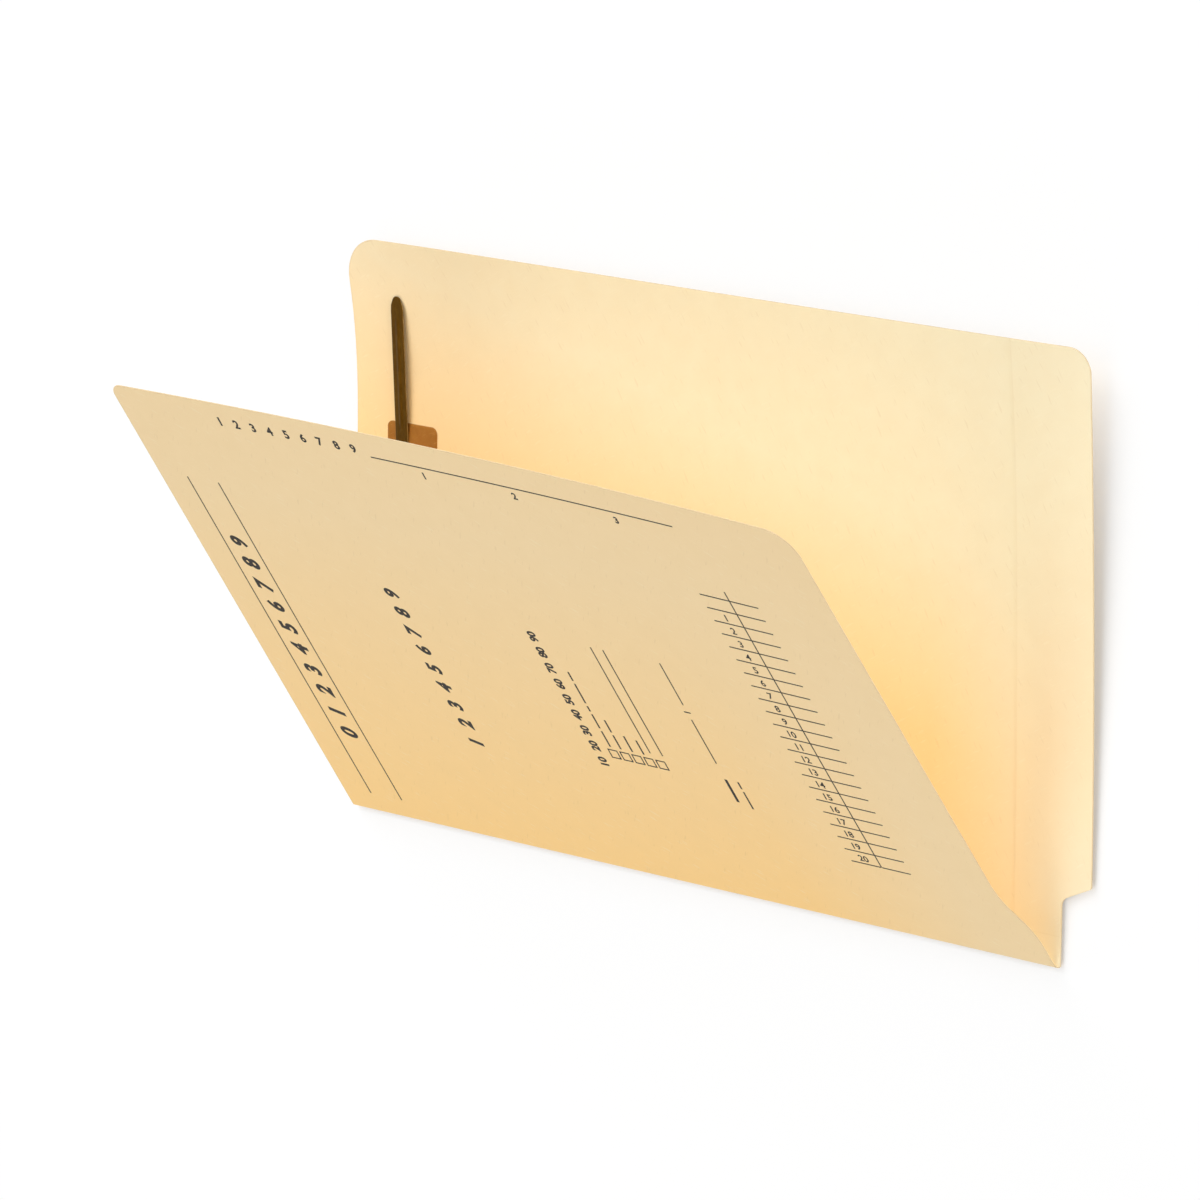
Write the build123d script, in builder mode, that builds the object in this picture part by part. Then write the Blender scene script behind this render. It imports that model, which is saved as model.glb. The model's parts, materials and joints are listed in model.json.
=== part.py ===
# End-tab manila folder lying on its back panel, cover part open, with a bonded prong fastener.
# X runs along the fold with the end tab at +X, Y runs from the fold up the back panel, Z is up.
# The origin is the middle of the footprint, on the surface the folder lies on.

import os
from math import radians, sin, sqrt

from build123d import *

os.makedirs("parts", exist_ok=True)

# Card blank
card = 0.36
overall_width = 387.35
overall_height = 241.3
back_left_radius = 19.05
trim = 5.0  # waste round the sheet, which the die cuts off

# Curl of the back panel, from above the upper prong's root at the left and from above the fold at the tab
curl_left_start = 25.7
curl_left_radius = 184.0
curl_right_start = 60.7
curl_right_radius = 1296.0

# End tab at the right of the back panel
tab_reach = 14.0
tab_foot = 33.5
tab_slant = 6.5
tab_top_radius = 9.5
tab_tip_radius = 1.5
notch_radius = 4.0

# Second ply that stiffens the end tab
ply = 0.2
glue = 0.1
ply_width = 37.0
ply_foot = 12.0

# Fold
fold_radius = 0.25
fold_clearance = 0.1
cover_angle = 37.75

# Warp of the cover, opened more at the tab's end and bowed in along its top edge
cover_twist = 3.0
cover_bow = 3.2

# Die-cut right side of the cover
cover_setback = 11.6
cover_heel_setback = 2.0
cover_heel = 12.0
cover_step = 34.0
cover_left_radius = 6.35
cover_right_radius = 12.7

# Fastener
fastener_from_edge = 26.3
prong_spacing = 69.85
strip = 0.3
strip_width = 7.6
strip_margin = 7.0
pad = 0.6
pad_width = 27.8
pad_length = 90.0
pad_offset = 5.0
pad_radius = 3.0
pad_clearance = 0.1

# Prongs
prong = 0.3
prong_width = 7.0
prong_length = 63.0
prong_taper = 5.5
prong_tip_width = 3.2
prong_tip_radius = 1.4
prong_lay_gap = 0.12
prong_rise = 4.0
knuckle_radius = 0.4
knuckle_clearance = 0.12
rib = 0.2
rib_width = 1.6
rib_margin = 9.0

# Places worked out from the sizes above
left = -overall_width / 2
tab_right = overall_width / 2
body_right = tab_right - tab_reach
top = overall_height / 2
bottom = -overall_height / 2
outer_radius = fold_radius + card
fold_y = bottom + outer_radius
fold_z = outer_radius
fold_length = body_right - left
fold_middle = (left + body_right) / 2
fastener_x = left + fastener_from_edge
pad_top = card + pad
prong_z = pad_top + prong_lay_gap + prong / 2
upper_root = prong_spacing / 2
rib_length = prong_length - 2 * rib_margin
curl_left_from = upper_root + curl_left_start
curl_right_from = bottom + curl_right_start


def corner(outline, place):
    """The corner of a sketch that is nearest to a place in its plane."""
    return outline.vertices().sort_by_distance(place)[0]


def back_outline():
    """Die-cut outline of the back panel, from the fold line up, with the end tab and its notch."""
    with BuildSketch(mode=Mode.PRIVATE) as outline:
        with BuildLine():
            Polyline(
                (left, fold_y),
                (body_right, fold_y),
                (body_right, bottom + tab_foot - tab_slant),
                (tab_right, bottom + tab_foot),
                (tab_right, top),
                (left, top),
                close=True,
            )
        make_face()
        fillet(corner(outline, (left, top)), radius=back_left_radius)
        fillet(corner(outline, (tab_right, top)), radius=tab_top_radius)
        fillet(corner(outline, (tab_right, bottom + tab_foot)), radius=tab_tip_radius)
        fillet(corner(outline, (body_right, bottom + tab_foot - tab_slant)), radius=notch_radius)
    return outline.sketch


def curl_rise(start, radius):
    """How far a curl has risen at the end of the waste past the top edge."""
    return (top + trim - start) ** 2 / (2 * radius)


def curl_profile(x, start, radius, low, thickness):
    """Side view of a sheet's curl at one end, a parabola from its start to the waste past the top edge."""
    end = top + trim
    rise = curl_rise(start, radius)
    with BuildSketch(Plane.YZ.offset(x), mode=Mode.PRIVATE) as profile:
        with BuildLine():
            sides = []
            for z in (low, low + thickness):
                sides.append(Bezier((start, z), ((start + end) / 2, z), (end, z + rise)))
            Line(sides[0] @ 0, sides[1] @ 0)
            Line(sides[0] @ 1, sides[1] @ 1)
        make_face()
    return profile.sketch


def curled_sheet(low, thickness):
    """An untrimmed sheet at a height above the table, flat by the fold and curling up towards the top."""
    with BuildPart(mode=Mode.PRIVATE) as sheet:
        with BuildSketch(Plane.XY.offset(low)):
            with BuildLine():
                Polyline(
                    (left - trim, fold_y - trim),
                    (tab_right + trim, fold_y - trim),
                    (tab_right + trim, curl_right_from),
                    (left - trim, curl_left_from),
                    close=True,
                )
            make_face()
        extrude(amount=thickness)
        loft(
            sections=[
                curl_profile(left - trim, curl_left_from, curl_left_radius, low, thickness),
                curl_profile(tab_right + trim, curl_right_from, curl_right_radius, low, thickness),
            ],
            ruled=True,
        )
    return sheet.part


# Back panel, the half of the card that lies on the table
highest_curl = max(
    curl_rise(curl_left_from, curl_left_radius),
    curl_rise(curl_right_from, curl_right_radius),
)
curl_room = highest_curl + card + glue + ply
with BuildPart() as back_panel:
    add(curled_sheet(0, card))
    with BuildSketch():
        add(back_outline())
    extrude(amount=curl_room, both=True, mode=Mode.INTERSECT)

# Second ply, glued on the inside of the tab and cut with the same die
with BuildPart() as tab_reinforcement:
    add(curled_sheet(card + glue, ply))
    with BuildSketch():
        add(back_outline())
        with Locations((tab_right, bottom + ply_foot)):
            Rectangle(
                ply_width,
                overall_height,
                align=(Align.MAX, Align.MIN),
                mode=Mode.INTERSECT,
            )
    extrude(amount=curl_room, both=True, mode=Mode.INTERSECT)

# Fold, a strip of the card bent round the hinge line
with BuildPart() as fold_crease:
    with BuildSketch(Plane.YZ.offset(left)):
        with BuildLine():
            bend = 180 - cover_angle
            outside = CenterArc((fold_y, fold_z), outer_radius, 90 + cover_angle, bend)
            inside = CenterArc((fold_y, fold_z), fold_radius, 90 + cover_angle, bend)
            Line(outside @ 0, inside @ 0)
            Line(outside @ 1, inside @ 1)
        make_face()
    extrude(amount=fold_length)

# Cover, standing open on the fold, with its right side stepped in from the end tab
cover_foot = sqrt((outer_radius + fold_clearance) ** 2 - fold_radius**2)
cover_top = overall_height - outer_radius
cover_right = body_right - cover_setback
heel_right = body_right - cover_heel_setback
step_middle = ((cover_right + heel_right) / 2, cover_heel + cover_step / 2)
cover_room = cover_top * sin(radians(cover_twist)) + cover_bow + outer_radius


def cover_plane(x, angle):
    """Plane of the cover at a place along the fold, with its normal to the folder's outside."""
    return Plane(
        origin=(x, fold_y, fold_z),
        x_dir=(1, 0, 0),
        z_dir=Vector(0, 0, 1).rotate(Axis.X, angle),
    )


def cover_profile(x, angle, bow):
    """Side view of the untrimmed cover at a place along the fold, its top bowed in by some distance."""
    across = cover_plane(x, angle)
    with BuildSketch(
        Plane(origin=across.origin, x_dir=across.y_dir, z_dir=across.x_dir),
        mode=Mode.PRIVATE,
    ) as profile:
        with BuildLine():
            sides = []
            for out in (fold_radius, fold_radius + card):
                if bow:
                    sides.append(TangentArc((0, out), (cover_top + trim, out - bow), tangent=(1, 0)))
                else:
                    sides.append(Line((0, out), (cover_top + trim, out)))
            Line(sides[0] @ 0, sides[1] @ 0)
            Line(sides[0] @ 1, sides[1] @ 1)
        make_face()
    return profile.sketch


with BuildPart() as front_panel:
    loft(
        sections=[
            cover_profile(left - trim, cover_angle - cover_twist / 2, 0),
            cover_profile(fold_middle, cover_angle, cover_bow),
            cover_profile(body_right + trim, cover_angle + cover_twist / 2, 0),
        ]
    )
    with BuildSketch(cover_plane(0, cover_angle)) as cover_outline:
        with BuildLine():
            heel = Line((heel_right, cover_foot), (heel_right, cover_heel))
            lower_bend = TangentArc(heel @ 1, step_middle, tangent=heel % 1)
            upper_bend = TangentArc(
                lower_bend @ 1,
                (cover_right, cover_heel + cover_step),
                tangent=lower_bend % 1,
            )
            Polyline(
                upper_bend @ 1,
                (cover_right, cover_top),
                (left, cover_top),
                (left, cover_foot),
                heel @ 0,
            )
        make_face()
        fillet(corner(cover_outline, (left, cover_top)), radius=cover_left_radius)
        fillet(corner(cover_outline, (cover_right, cover_top)), radius=cover_right_radius)
    extrude(amount=cover_room, both=True, mode=Mode.INTERSECT)

# Fastener's base strip, flat on the inside of the back panel
with BuildPart() as fastener_strip:
    with BuildSketch(Plane.XY.offset(card)):
        with Locations((fastener_x, 0)):
            SlotOverall(prong_spacing + 2 * strip_margin, strip_width, rotation=90)
    extrude(amount=strip)

# Fibre pad that bonds the strip to the card, slit where the prongs come through
with BuildPart() as fastener_pad:
    with BuildSketch(Plane.XY.offset(card)):
        with Locations((fastener_x + pad_offset, 0)):
            RectangleRounded(pad_width, pad_length, pad_radius)
    extrude(amount=pad)
    with BuildSketch(Plane.XY.offset(card)):
        with Locations((fastener_x, 0)):
            SlotOverall(
                prong_spacing + 2 * (strip_margin + pad_clearance),
                strip_width + 2 * pad_clearance,
                rotation=90,
            )
    extrude(amount=strip + pad_clearance, mode=Mode.SUBTRACT)
    with BuildSketch(Plane.XY.offset(card)):
        with Locations((fastener_x, upper_root), (fastener_x, -upper_root)):
            Rectangle(
                prong_width + 2 * knuckle_clearance,
                2 * (knuckle_radius + knuckle_clearance),
            )
    extrude(amount=pad, mode=Mode.SUBTRACT)


def rolled_prong(lie):
    """A tapered tongue with a pressed rib and a rolled root, lying along a plane from its bending line."""
    with BuildPart() as prong_piece:
        with BuildSketch(lie.offset(-prong / 2)) as tongue:
            with BuildLine():
                Polyline(
                    (-prong_width / 2, 0),
                    (prong_width / 2, 0),
                    (prong_width / 2, prong_length - prong_taper),
                    (prong_tip_width / 2, prong_length),
                    (-prong_tip_width / 2, prong_length),
                    (-prong_width / 2, prong_length - prong_taper),
                    close=True,
                )
            make_face()
            fillet(tongue.vertices().group_by(Axis.Y)[-1], radius=prong_tip_radius)
        extrude(amount=prong)
        with BuildSketch(lie.offset(prong / 2)):
            with Locations((0, prong_length / 2)):
                SlotOverall(rib_length, rib_width, rotation=90)
        extrude(amount=rib, taper=30)
        with BuildSketch(Plane(origin=lie.origin, x_dir=lie.y_dir, z_dir=lie.x_dir)):
            Circle(knuckle_radius)
        extrude(amount=prong_width / 2, both=True)
    return prong_piece


# Upper prong, which points up the back panel and rises clear of its curl
upper_prong = rolled_prong(
    Plane(
        origin=(fastener_x, upper_root, prong_z),
        x_dir=(1, 0, 0),
        z_dir=Vector(0, 0, 1).rotate(Axis.X, prong_rise),
    )
)

# Lower prong, which lies flat and points to the fold
lower_prong = rolled_prong(
    Plane(
        origin=(fastener_x, -upper_root, prong_z),
        x_dir=(-1, 0, 0),
        z_dir=(0, 0, 1),
    )
)

pieces = {
    "back_panel": back_panel,
    "tab_reinforcement": tab_reinforcement,
    "fold_crease": fold_crease,
    "front_panel": front_panel,
    "fastener_strip": fastener_strip,
    "fastener_pad": fastener_pad,
    "upper_prong": upper_prong,
    "lower_prong": lower_prong,
}
for name, piece in pieces.items():
    piece.part.label = name
    export_step(piece.part, f"parts/{name}.step")
    print(name, "volume", round(piece.part.volume, 2), "mm3")
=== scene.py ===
# %% [markdown]
# # An end-tab manila folder
# A manila folder is one die-cut sheet of card, folded once. This one carries a second ply glued on its
# end tab, a ruled form printed on the cover, and a two-prong paper fastener bonded inside the back
# panel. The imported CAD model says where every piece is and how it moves. This lesson gives each piece
# its real thickness, curl and finish, and leaves the CAD where it stands. Lengths are in metres, and MM
# turns millimetres into metres.

import json
import math

import bmesh
import bpy
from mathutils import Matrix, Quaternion, Vector


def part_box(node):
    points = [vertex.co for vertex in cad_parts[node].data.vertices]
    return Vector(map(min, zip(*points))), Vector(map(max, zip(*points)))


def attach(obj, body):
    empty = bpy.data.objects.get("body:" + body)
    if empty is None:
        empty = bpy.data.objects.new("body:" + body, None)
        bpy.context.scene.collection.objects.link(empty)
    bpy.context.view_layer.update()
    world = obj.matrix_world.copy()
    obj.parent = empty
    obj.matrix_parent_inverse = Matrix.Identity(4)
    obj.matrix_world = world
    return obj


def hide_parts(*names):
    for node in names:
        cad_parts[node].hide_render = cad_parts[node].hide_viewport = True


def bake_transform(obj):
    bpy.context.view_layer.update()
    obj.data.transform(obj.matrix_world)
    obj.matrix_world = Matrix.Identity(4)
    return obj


MM = 0.001
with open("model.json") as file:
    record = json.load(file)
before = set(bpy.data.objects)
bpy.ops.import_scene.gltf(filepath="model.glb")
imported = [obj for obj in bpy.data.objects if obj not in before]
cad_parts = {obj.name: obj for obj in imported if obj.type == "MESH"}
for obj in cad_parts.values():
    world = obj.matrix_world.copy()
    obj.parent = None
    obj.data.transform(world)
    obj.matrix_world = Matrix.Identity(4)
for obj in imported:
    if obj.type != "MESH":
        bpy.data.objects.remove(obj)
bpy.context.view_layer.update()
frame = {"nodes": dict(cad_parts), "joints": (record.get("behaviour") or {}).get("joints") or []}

# %% [markdown]
# ## Camera
# The photograph looks down at the tab's end of the folder through a long lens, and the picture is then
# turned, so that the back panel seems to stand up. A camera could be given a matrix, but nobody can
# read one. Here it is placed by what it looks at, how far away it stands and in which direction, and a
# roll about its own view axis turns it.

# %% Camera
view_target = Vector((-13.65, 0.55, 50)) * MM
view_distance = 2.493
view_azimuth = math.radians(107.16)
view_elevation = math.radians(46.97)
view_roll = math.radians(-101.77)
view_lens_mm = 191.52

towards_camera = Vector((
    math.sin(view_azimuth) * math.cos(view_elevation),
    -math.cos(view_azimuth) * math.cos(view_elevation),
    math.sin(view_elevation),
))
camera = bpy.data.objects.new("camera", bpy.data.cameras.new("camera"))
camera.data.lens = view_lens_mm
camera.location = view_target + view_distance * towards_camera
upright = towards_camera.to_track_quat("Z", "Y")
camera.rotation_mode = "QUATERNION"
camera.rotation_quaternion = upright @ Quaternion((0, 0, 1), view_roll)
bpy.context.scene.collection.objects.link(camera)
bpy.context.scene.camera = camera
print("camera stands at", [round(c, 3) for c in camera.location])

# %% [markdown]
# ## Sizes of the card
# Thickness, fold line and opening are all in the CAD's fold, so they are measured there and not typed
# again. The cover's joint sits on the axis that the card is bent round. The points of the fold that are
# nearest to that axis and farthest from it give the card's thickness, and the highest one shows how far
# the cover stands open.

# %% Measure the card
fold = Vector(next(j for j in frame["joints"] if j["name"] == "cover_fold")["pos_m"])
back_low, back_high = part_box("back_panel")
crease = [v.co - fold for v in frame["nodes"]["fold_crease"].data.vertices]
from_axis = [math.hypot(point.y, point.z) for point in crease]
card = max(from_axis) - min(from_axis)
bend_radius = (max(from_axis) + min(from_axis)) / 2

bend_top = max(crease, key=lambda point: point.z)
cover_out = Vector((0, bend_top.y, bend_top.z)).normalized()
opening = math.atan2(-cover_out.y, cover_out.z)
bend_length = bend_radius * (math.pi - opening)
panel_height = back_high.y - back_low.y
print(f"card {card / MM:.2f} mm thick, cover open {math.degrees(opening):.2f} degrees")

# %% [markdown]
# ## How the card lies
# Card is never quite flat. The top edge of this back panel curls up at both corners, and the cover is
# twisted a little and bowed, so its top edge is a soft curve. A cloth simulation could find such
# shapes, but stiff card bends so little that a formula says it better: one function takes a point of
# the flat blank to its place in the folded sheet. In the blank, x runs along the fold and s across it:
# below 0 is the back panel, then the bend, then the cover.

# %% Fold and curl
blank_left = back_low.x
fold_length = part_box("fold_crease")[1].x - blank_left
left_curl = 10.5 * MM
left_curl_from = 0.656
left_curl_power = 2.42
left_curl_reach = 1.037
left_curl_fade = 0.61
right_curl = 11.4 * MM
right_curl_from = 0.125
right_curl_power = 1.71
cover_twist = math.radians(3.42)
cover_bow = 3.55 * MM


def back_lift(x, up):
    """How far the back panel's curl raises a point above the table."""
    across = (x - blank_left) / fold_length
    height = max(0, up / panel_height)
    at_left = max(0, (height - left_curl_from) / (1 - left_curl_from)) ** left_curl_power
    at_left *= max(0, 1 - across / left_curl_reach) ** left_curl_fade
    at_right = height**right_curl_power * max(0, across - right_curl_from) / (1 - right_curl_from)
    return left_curl * at_left + right_curl * at_right


def sheet_middle(x, s):
    """A point of the blank, taken to the middle of the folded card's thickness."""
    if s <= 0:
        return Vector((x, fold.y - s, card / 2 + back_lift(x, -s)))
    across = (x - blank_left) / fold_length
    turned = (math.pi - opening - cover_twist * (across - 0.5)) * min(1, s / bend_length)
    up = max(0, s - bend_length)
    out = bend_radius - cover_bow * 4 * across * (1 - across) * (up / panel_height) ** 2
    y = fold.y - out * math.sin(turned) - up * math.cos(turned)
    z = fold.z - out * math.cos(turned) + up * math.sin(turned)
    return Vector((x, y, z))


def sheet_point(x, s, outward):
    """The same point moved through the card's thickness, towards the folder's outside."""
    step = 0.01 * MM
    along = sheet_middle(x + step, s) - sheet_middle(x - step, s)
    across = sheet_middle(x, s + step) - sheet_middle(x, s - step)
    return sheet_middle(x, s) + outward * along.cross(across).normalized()


print(f"top left corner of the back panel rises {back_lift(blank_left, panel_height) / MM:.1f} mm")

# %% [markdown]
# ## The die line
# A die cuts the blank from flat card. Its line is already in the CAD panels, as the rim of their broad
# sides, so it is read from there: every edge that only one triangle of the side uses is on a rim, and
# walking from edge to edge puts the rim's points in order. A side with slits has more than one rim, and
# the longest is the outline.

# %% Read die lines from a CAD node
same_side_cosine = 0.7
point_grid = 0.001 * MM


def die_lines(node, facing):
    """Rims of the node's side that looks along facing, each as points in order, the longest rim first."""
    mesh = frame["nodes"][node].data
    uses, where = {}, {}
    for face in mesh.polygons:
        if face.normal.dot(facing) < same_side_cosine:
            continue
        corners = []
        for i in face.vertices:
            point = mesh.vertices[i].co
            corners.append(tuple(round(c / point_grid) for c in point))
            where[corners[-1]] = point.copy()
        for edge in map(frozenset, zip(corners, corners[1:] + corners[:1])):
            uses[edge] = uses.get(edge, 0) + 1
    beside = {}
    for a, b in (edge for edge, count in uses.items() if count == 1):
        beside.setdefault(a, []).append(b)
        beside.setdefault(b, []).append(a)
    rims = []
    while beside:
        rim = [next(iter(beside))]
        while rim[-1] in beside:
            forward = [point for point in beside.pop(rim[-1]) if point in beside]
            rim.extend(forward[:1])
            if not forward:
                break
        rims.append([where[point] for point in rim])
    return sorted(rims, key=around, reverse=True)


def around(rim):
    """Length of a closed rim."""
    return sum((a - b).length for a, b in zip(rim, rim[1:] + rim[:1]))


# %% Die lines on the flat blank
touching = 0.01 * MM


def open_at_fold(rim):
    """The same rim as a path that starts and ends on its side next to the fold, from right to left."""
    nearest = min(abs(s) for _, s in rim)
    feet = [i for i, (_, s) in enumerate(rim) if abs(s) < nearest + touching]
    right = max(feet, key=lambda i: rim[i][0])
    path = rim[right:] + rim[:right]
    if abs(path[1][1]) < nearest + touching:
        path = path[:1] + path[:0:-1]
    return path


def on_back(point):
    """x and s on the blank of a point of the back panel."""
    return point.x, fold.y - point.y


up_from_table = Vector((0, 0, 1))
cover_up = Vector((0, math.cos(opening), math.sin(opening)))
back_path = open_at_fold([on_back(p) for p in die_lines("back_panel", up_from_table)[0]])
cover_path = open_at_fold([
    (p.x, bend_length + (p - fold).dot(cover_up)) for p in die_lines("front_panel", cover_out)[0]
])
print(f"die line has {len(back_path)} points round the back panel and {len(cover_path)} round the cover")

# %% [markdown]
# ## The card
# Back panel, fold and cover are one piece of card, so they are one mesh here. A flat face is filled
# inside the die line, a narrow band along the rim is set apart for the cut edge, and straight cuts make
# it a grid that can bend, with close cuts round the fold. Each point then goes to its folded place
# twice, once for each side of the card. A Solidify modifier could add the thickness too, but placing
# both sides keeps the fold's inner and outer radius true.

# %% Cut the blank
edge_band = 0.8 * MM
grid_step = 6.5 * MM
bend_cuts = 12
merge_within = 1e-7


def flat_piece(outline, band):
    """A flat mesh inside an outline in the blank's x and s, with a band of faces along its rim."""
    flat = bmesh.new()
    face = flat.faces.new([flat.verts.new((x, s, 0)) for x, s in outline])
    face.normal_update()
    if face.normal.z < 0:
        face.normal_flip()
    bmesh.ops.inset_individual(flat, faces=[face], thickness=band, use_even_offset=True)
    return flat


def cut(flat, place, direction):
    """Cuts a flat mesh along one straight line."""
    everything = flat.verts[:] + flat.edges[:] + flat.faces[:]
    bmesh.ops.bisect_plane(
        flat, geom=everything, dist=merge_within, plane_co=place, plane_no=direction
    )


def cut_grid(flat, step=grid_step):
    """Cuts a flat mesh into squares, so that it can bend."""
    for axis, direction in ((0, (1, 0, 0)), (1, (0, 1, 0))):
        reach = [v.co[axis] / step for v in flat.verts]
        for i in range(math.ceil(min(reach)), math.floor(max(reach)) + 1):
            cut(flat, Vector(direction) * i * step, direction)
    return flat


blank = cut_grid(flat_piece(back_path + cover_path[::-1], edge_band))
for i in range(bend_cuts + 1):
    cut(blank, (0, bend_length * i / bend_cuts, 0), (0, 1, 0))
print(f"flat blank has {len(blank.faces)} faces")

# %% Fold the blank
outer_layer = 0.0
inner_layer = 0.1
sharp_from = math.radians(40)


def fold_sheet(name, flat, inner, outer, edge_mark=1.0):
    """Makes a closed mesh of a flat one, folded like the card.

    inner(x, s) and outer(x, s) say how far its two sides lie from the middle of the card, outwards,
    and edge_mark says how strongly its rim is marked, for wear and, on the card, for painted edge shade.
    """
    bmesh.ops.triangulate(flat, faces=[f for f in flat.faces if len(f.verts) > 4])
    flat.verts.index_update()
    count = len(flat.verts)
    places = [(v.co.x, v.co.y) for v in flat.verts]
    points = [sheet_point(x, s, side(x, s)) for side in (outer, inner) for x, s in places]
    faces = []
    rim = [0.0] * count
    for f in flat.faces:
        ring = [v.index for v in f.verts]
        faces.append(ring)
        faces.append([i + count for i in reversed(ring)])
    for loop in [e.link_loops[0] for e in flat.edges if e.is_boundary]:
        a = loop.vert.index
        b = loop.link_loop_next.vert.index
        faces.append([b, a, a + count, b + count])
        rim[a] = rim[b] = edge_mark
    flat.free()
    layers = [(x, s, layer) for layer in (outer_layer, inner_layer) for x, s in places]
    return new_piece(name, points, faces, layers, rim + rim)


def new_piece(name, points, faces, places, rim):
    """A smooth object with its texture coordinates in flat_place and its worn edges in cut_edge."""
    mesh = bpy.data.meshes.new(name)
    mesh.from_pydata(points, [], faces)
    flat_place = mesh.attributes.new("flat_place", "FLOAT_VECTOR", "POINT")
    flat_place.data.foreach_set("vector", [c for place in places for c in place])
    mesh.attributes.new("cut_edge", "FLOAT", "POINT").data.foreach_set("value", rim)
    mesh.shade_smooth()
    mesh.set_sharp_from_angle(angle=sharp_from)
    piece = bpy.data.objects.new(name, mesh)
    bpy.context.scene.collection.objects.link(piece)
    solid = bmesh.new()
    solid.from_mesh(mesh)
    print(f"{name}: {len(faces)} faces round {solid.calc_volume(signed=True) / MM**3:.1f} mm3")
    solid.free()
    return piece


def level(offset):
    """A side of a sheet that lies at the same offset everywhere."""
    return lambda x, s: offset


# %% The folded card
folder_card = fold_sheet("folder_card", blank, level(-card / 2), level(card / 2))
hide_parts("back_panel", "fold_crease", "front_panel")
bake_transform(folder_card)

# %% [markdown]
# ## Fibres, a group that every paper piece shares
# Manila card is pulp: look closely and there are soft clouds where the pulp is thicker, short fibres
# that stay darker or lighter, and a fine tooth that light catches. Card, ink and fibre pad all show it
# at their own scale, so it is one shader node group with named sockets. It only puts out masks and a
# height, and each material decides what they do.

# %% Helpers for node trees
def add_node(tree, kind, sockets, **settings):
    """A new shader node. Each socket is given a number, a colour or another node's output."""
    node = tree.nodes.new("ShaderNode" + kind)
    for name, value in settings.items():
        setattr(node, name, value)
    for name, value in sockets.items():
        if isinstance(value, bpy.types.NodeSocket):
            tree.links.new(value, node.inputs[name])
        else:
            node.inputs[name].default_value = value
    return node


def new_group(name, inputs, outputs):
    """An empty shader node group, with the values that it is given and the sockets of its result."""
    group = bpy.data.node_groups.new(name, "ShaderNodeTree")
    for label, kind in inputs.items():
        group.interface.new_socket(label, in_out="INPUT", socket_type=kind)
    for label in outputs:
        group.interface.new_socket(label, in_out="OUTPUT", socket_type="NodeSocketFloat")
    given = group.nodes.new("NodeGroupInput").outputs
    result = group.nodes.new("NodeGroupOutput").inputs
    return group, given, result


def multiply(tree, a, b):
    """The product of two values."""
    return add_node(tree, "Math", {0: a, 1: b}, operation="MULTIPLY").outputs[0]


def stretched(tree, place, factors):
    """Coordinates that are multiplied, axis by axis."""
    return add_node(tree, "VectorMath", {0: place, 1: factors}, operation="MULTIPLY").outputs["Vector"]


def remap(tree, value, low, high, to_low=0.0, to_high=1.0):
    """Stretches low..high of a value to to_low..to_high, and clamps it there."""
    ends = {"From Min": low, "From Max": high, "To Min": to_low, "To Max": to_high}
    return add_node(tree, "MapRange", {"Value": value, **ends}).outputs["Result"]


def noise(tree, place, scale, detail):
    """Soft noise round 0.5."""
    sockets = {"Vector": place, "Scale": scale, "Detail": detail}
    return add_node(tree, "TexNoise", sockets).outputs["Fac"]


# %% Paper fibre group
paper_fibre, given, result = new_group(
    "paper_fibre",
    {"Place": "NodeSocketVector", "Cloud Scale": "NodeSocketFloat", "Fibre Scale": "NodeSocketFloat"},
    ["Clouds", "Dark Fibres", "Light Fibres", "Tooth"],
)
cloud_detail = 5.0
cloud_edges = (0.3, 0.7)
fibre_detail = 1.0
fibre_stretch = (1.0, 0.16, 1.0)
fibre_softness = 0.1
tooth_detail = 3.0
tooth_to_fibre = 3.0

clouds = noise(paper_fibre, given["Place"], given["Cloud Scale"], cloud_detail)
paper_fibre.links.new(remap(paper_fibre, clouds, *cloud_edges), result["Clouds"])
for shade, turn, rarity in (("Dark Fibres", 0.5, 0.66), ("Light Fibres", 2.1, 0.64)):
    turned = add_node(
        paper_fibre, "VectorRotate", {"Vector": given["Place"], "Angle": turn}, rotation_type="Z_AXIS"
    ).outputs["Vector"]
    strands = stretched(paper_fibre, turned, fibre_stretch)
    fibres = noise(paper_fibre, strands, given["Fibre Scale"], fibre_detail)
    paper_fibre.links.new(remap(paper_fibre, fibres, rarity, rarity + fibre_softness), result[shade])
fine_scale = multiply(paper_fibre, given["Fibre Scale"], tooth_to_fibre)
paper_fibre.links.new(noise(paper_fibre, given["Place"], fine_scale, tooth_detail), result["Tooth"])
print("paper_fibre has", len(paper_fibre.nodes), "nodes")

# %% [markdown]
# ## Edge wear, a second shared group
# Edges age first: card soils along its cut, fibre rubs pale, and lacquer wears off the sides of a metal
# strip. On the card that darker rim is also a painted shade, and on the prongs the paler edge is also a
# painted highlight. Every mesh here marks its rim with a cut_edge value of 1. The group breaks that mark
# up with noise, so that the wear comes and goes along the edge, and puts out one mask.

# %% Edge wear group
edge_wear, given, result = new_group(
    "edge_wear",
    {"Place": "NodeSocketVector", "Rim": "NodeSocketFloat", "Patch Scale": "NodeSocketFloat"},
    ["Worn"],
)
patch_detail = 4.0
patch_edges = (0.35, 0.65)
least_wear = 0.35

patches = noise(edge_wear, given["Place"], given["Patch Scale"], patch_detail)
patchy = remap(edge_wear, patches, *patch_edges, least_wear, 1.0)
edge_wear.links.new(multiply(edge_wear, given["Rim"], patchy), result["Worn"])
print("edge_wear has", len(edge_wear.nodes), "nodes")
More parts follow.
